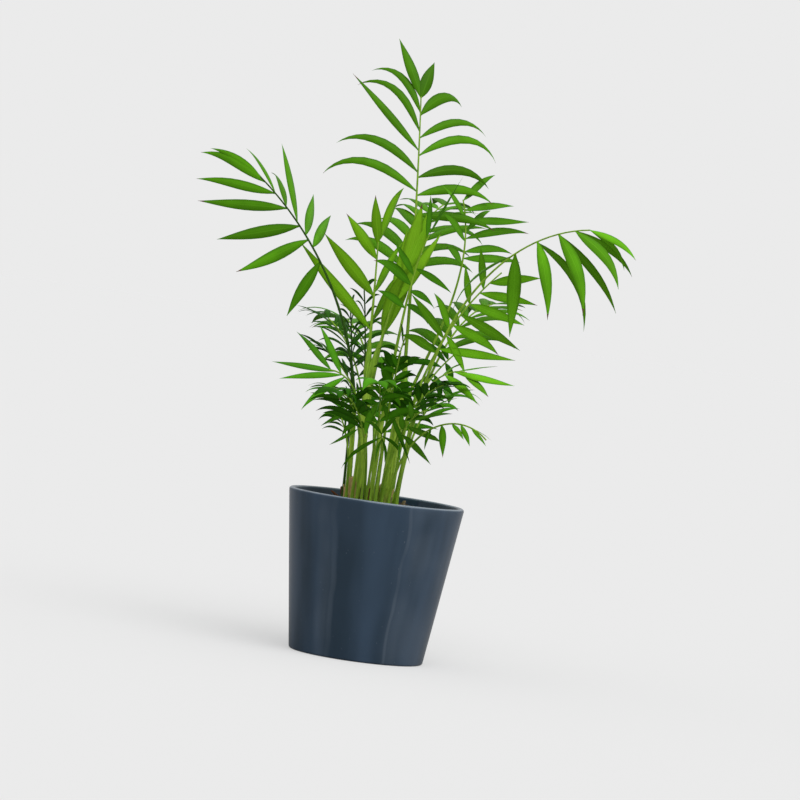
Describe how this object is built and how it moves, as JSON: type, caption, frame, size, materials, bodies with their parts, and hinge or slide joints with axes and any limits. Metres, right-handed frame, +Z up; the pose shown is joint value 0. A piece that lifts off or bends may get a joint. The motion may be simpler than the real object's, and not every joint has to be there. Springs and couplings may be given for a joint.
{
  "type": "potted parlour palm",
  "caption": "Young parlour palm: a clump of slender green canes with arching feather fronds, standing on its root ball in a tapered glazed ceramic pot.",
  "frame": {"origin": "centre of the flat underside of the pot", "axes": "+Z up along the pot's axis, +X to the right and +Y away from the viewer in the front view"},
  "size_m": [0.3629, 0.3028, 0.5166],
  "materials": {
    "slate_glaze": "gloss slate-blue glaze",
    "potting_mix": "dark brown crumbly mix",
    "cane_green": "smooth green cane with pale rings",
    "stalk_green": "smooth green leaf stalk",
    "leaf_dark": "satin dark green leaf",
    "leaf_mid": "satin mid green leaf",
    "leaf_young": "satin bright young leaf"
  },
  "bodies": {
    "root": {"cane_back": "cane_green", "cane_left": "cane_green", "cane_main": "cane_green", "cane_middle": "cane_green", "cane_rear": "cane_green", "cane_right": "cane_green", "frond_arch_right": "leaf_mid", "frond_back_blade": "leaf_mid", "frond_back_low_blade": "leaf_mid", "frond_back_low_stalk": "stalk_green", "frond_back_right_blade": "leaf_dark", "frond_back_right_stalk": "stalk_green", "frond_back_stalk": "stalk_green", "frond_back_wide_blade": "leaf_mid", "frond_back_wide_stalk": "stalk_green", "frond_dark_front": "leaf_dark", "frond_dark_left": "leaf_dark", "frond_dark_middle": "leaf_dark", "frond_dark_right": "leaf_dark", "frond_fine_left": "leaf_dark", "frond_fine_middle": "leaf_dark", "frond_front": "leaf_dark", "frond_front_high": "leaf_dark", "frond_front_left": "leaf_dark", "frond_front_right": "leaf_dark", "frond_left_blade": "leaf_mid", "frond_left_high": "leaf_dark", "frond_left_stalk": "stalk_green", "frond_low_front": "leaf_dark", "frond_low_left": "leaf_dark", "frond_low_right": "leaf_mid", "frond_middle_blade": "leaf_dark", "frond_middle_stalk": "stalk_green", "frond_rear": "leaf_dark", "frond_rear_left": "leaf_dark", "frond_rear_right": "leaf_dark", "frond_right_blade": "leaf_mid", "frond_right_low_blade": "leaf_mid", "frond_right_low_stalk": "stalk_green", "frond_right_stalk": "stalk_green", "frond_spear": "leaf_young", "frond_thick_high": "leaf_dark", "frond_thick_left": "leaf_dark", "frond_thick_middle": "leaf_dark", "frond_thick_right": "leaf_dark", "frond_top_blade": "leaf_mid", "frond_top_stalk": "stalk_green", "frond_young_blade": "leaf_young", "frond_young_stalk": "stalk_green", "pot": "slate_glaze", "root_ball": "potting_mix"}
  },
  "joints": []
}
